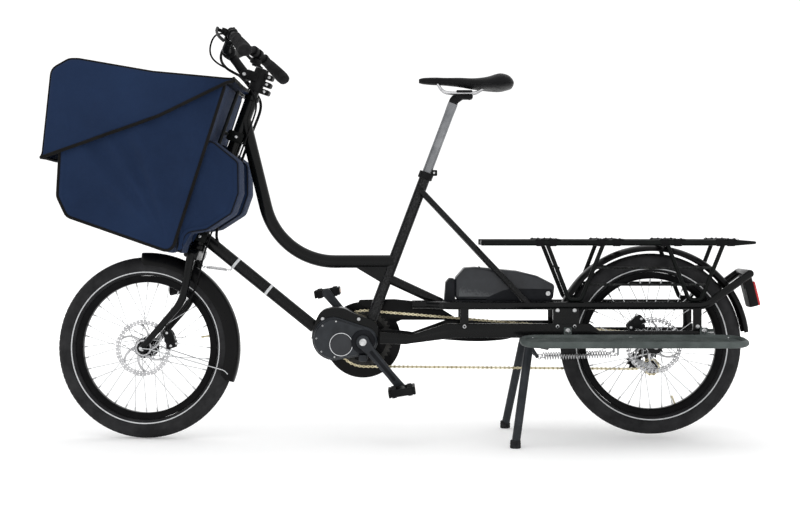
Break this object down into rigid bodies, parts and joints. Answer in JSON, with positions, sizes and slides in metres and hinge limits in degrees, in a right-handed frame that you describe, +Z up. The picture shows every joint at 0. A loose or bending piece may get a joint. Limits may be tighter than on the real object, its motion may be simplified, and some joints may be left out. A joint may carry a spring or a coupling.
{
  "type": "longtail cargo bike",
  "caption": "Longtail cargo bike with a low frame, mid motor, rear rack, running boards, centre stand and a fabric front bag.",
  "frame": {"origin": "on the ground below the middle of the bike's length, in its middle plane", "axes": "+Z up, -X the riding direction, +X to the rear, +Y to the drive side, which is the rider's right"},
  "size_m": [2.006, 0.6259, 1.1617],
  "materials": {
    "gloss_black": "gloss",
    "satin_black": "satin",
    "dark_grey": "satin",
    "anthracite": "satin",
    "silver": "satin",
    "steel": "satin",
    "brass": "satin",
    "rubber": "matt",
    "tyre": "matt",
    "fabric": "matt",
    "red": "gloss"
  },
  "bodies": {
    "frame": {"front_frame": "gloss_black", "rear_frame": "gloss_black", "rack": "gloss_black", "seat_clamp": "dark_grey", "motor_housing": "dark_grey", "chain_guard": "satin_black", "battery_mount": "anthracite", "running_board_left": "satin_black", "running_board_right": "satin_black", "rear_mudguard": "gloss_black", "rear_light": "satin_black", "rear_reflector": "red", "bag_carrier": "gloss_black", "bag": "fabric", "rear_caliper": "satin_black", "rear_derailleur": "satin_black", "chain": "brass", "rear_cables": "rubber"},
    "lid": {"bag_lid": "fabric"},
    "battery": {"battery_pack": "anthracite"},
    "seat": {"seat_post": "steel", "saddle": "satin_black", "saddle_rails": "steel"},
    "steering": {"fork": "gloss_black", "stem": "satin_black", "handlebar": "satin_black", "grip_left": "rubber", "grip_right": "rubber", "brake_master_left": "satin_black", "brake_master_right": "satin_black", "bell": "dark_grey", "shifter": "satin_black", "front_caliper": "satin_black", "headlight": "satin_black", "front_mudguard": "gloss_black", "front_brake_hose": "rubber", "cable_bundle": "rubber", "centring_spring": "silver"},
    "left_brake_lever": {"brake_lever_left": "satin_black"},
    "right_brake_lever": {"brake_lever_right": "satin_black"},
    "bell_striker": {"bell_lever": "dark_grey"},
    "shift_paddle": {"shift_lever": "dark_grey"},
    "front_wheel": {"front_hub": "silver", "front_rim": "satin_black", "front_tyre": "tyre", "front_rotor": "steel"},
    "rear_wheel": {"rear_hub": "silver", "rear_rim": "satin_black", "rear_tyre": "tyre", "rear_rotor": "steel"},
    "sprockets": {"cassette": "steel"},
    "crank": {"crank_left": "dark_grey", "crank_right": "dark_grey"},
    "left_pedal": {"pedal_left": "satin_black"},
    "right_pedal": {"pedal_right": "satin_black"},
    "centre_stand": {"stand": "dark_grey", "stand_spring_left": "silver", "stand_spring_right": "silver"},
    "upper_pulley": {"guide_pulley": "satin_black"},
    "lower_pulley": {"tension_pulley": "satin_black"}
  },
  "joints": [
    {"name": "steer", "type": "hinge", "parent": "frame", "child": "steering", "pos_m": [-0.70983, 0, 0.24466], "axis": [0.342, 0, 0.9397], "range_deg": [-44, 56], "stiffness_Nm_per_rad": 8, "deforming": ["centring_spring", "front_brake_hose", "cable_bundle"]},
    {"name": "front_wheel_spin", "type": "hinge", "parent": "steering", "child": "front_wheel", "pos_m": [-0.74627, 0.00408, 0.25793], "axis": [0.0982, 0.9945, -0.0358], "continuous": true},
    {"name": "rear_wheel_spin", "type": "hinge", "parent": "frame", "child": "rear_wheel", "pos_m": [0.69353, 0, 0.269], "axis": [0, 1, 0], "continuous": true},
    {"name": "crank_spin", "type": "hinge", "parent": "frame", "child": "crank", "pos_m": [-0.12647, 0, 0.279], "axis": [0, 1, 0], "continuous": true},
    {"name": "cassette_spin", "type": "hinge", "parent": "frame", "child": "sprockets", "pos_m": [0.69353, 0, 0.269], "axis": [0, 1, 0], "continuous": true},
    {"name": "guide_pulley_spin", "type": "hinge", "parent": "frame", "child": "upper_pulley", "pos_m": [0.70553, 0.056, 0.197], "axis": [0, 1, 0], "continuous": true},
    {"name": "tension_pulley_spin", "type": "hinge", "parent": "frame", "child": "lower_pulley", "pos_m": [0.65753, 0.056, 0.213], "axis": [0, 1, 0], "continuous": true},
    {"name": "left_pedal_spin", "type": "hinge", "parent": "crank", "child": "left_pedal", "pos_m": [-0.0172, -0.0755, 0.14877], "axis": [0, 1, 0], "continuous": true},
    {"name": "right_pedal_spin", "type": "hinge", "parent": "crank", "child": "right_pedal", "pos_m": [-0.23575, 0.0755, 0.40923], "axis": [0, 1, 0], "continuous": true},
    {"name": "stand_fold", "type": "hinge", "parent": "frame", "child": "centre_stand", "pos_m": [0.33953, 0, 0.2765], "axis": [0, -1, 0], "range_deg": [0, 76], "deforming": ["stand_spring_left", "stand_spring_right"]},
    {"name": "battery_tilt", "type": "hinge", "parent": "frame", "child": "battery", "pos_m": [0.13453, 0, 0.461], "axis": [0, -1, 0], "range_deg": [0, 12]},
    {"name": "seat_height", "type": "slide", "parent": "frame", "child": "seat", "axis": [0.3535, 0, 0.9354], "range_m": [-0.12, 0.08]},
    {"name": "left_brake_pull", "type": "hinge", "parent": "steering", "child": "left_brake_lever", "pos_m": [-0.52696, -0.15048, 1.14825], "axis": [-0.0428, -0.4173, 0.9078], "range_deg": [0, 10], "stiffness_Nm_per_rad": 0.6},
    {"name": "right_brake_pull", "type": "hinge", "parent": "steering", "child": "right_brake_lever", "pos_m": [-0.49474, 0.17572, 1.13652], "axis": [-0.0459, -0.4811, -0.8755], "range_deg": [0, 10], "stiffness_Nm_per_rad": 0.6},
    {"name": "bell_push", "type": "hinge", "parent": "steering", "child": "bell_striker", "pos_m": [-0.49659, -0.10093, 1.12777], "axis": [0.342, 0, 0.9397], "range_deg": [0, 15], "stiffness_Nm_per_rad": 0.05},
    {"name": "shift_push", "type": "hinge", "parent": "steering", "child": "shift_paddle", "pos_m": [-0.45212, 0.17858, 1.09549], "axis": [0.342, 0, 0.9397], "range_deg": [0, 15], "stiffness_Nm_per_rad": 0.1},
    {"name": "lid_lift", "type": "hinge", "parent": "frame", "child": "lid", "pos_m": [-0.47347, 0, 1.01], "axis": [0, 1, 0], "range_deg": [0, 9]}
  ],
  "couplings": [
    {"joint": "cassette_spin", "follows": "crank_spin", "ratio": 3.3333},
    {"joint": "guide_pulley_spin", "follows": "crank_spin", "ratio": -3.6364},
    {"joint": "tension_pulley_spin", "follows": "crank_spin", "ratio": 3.6364}
  ]
}
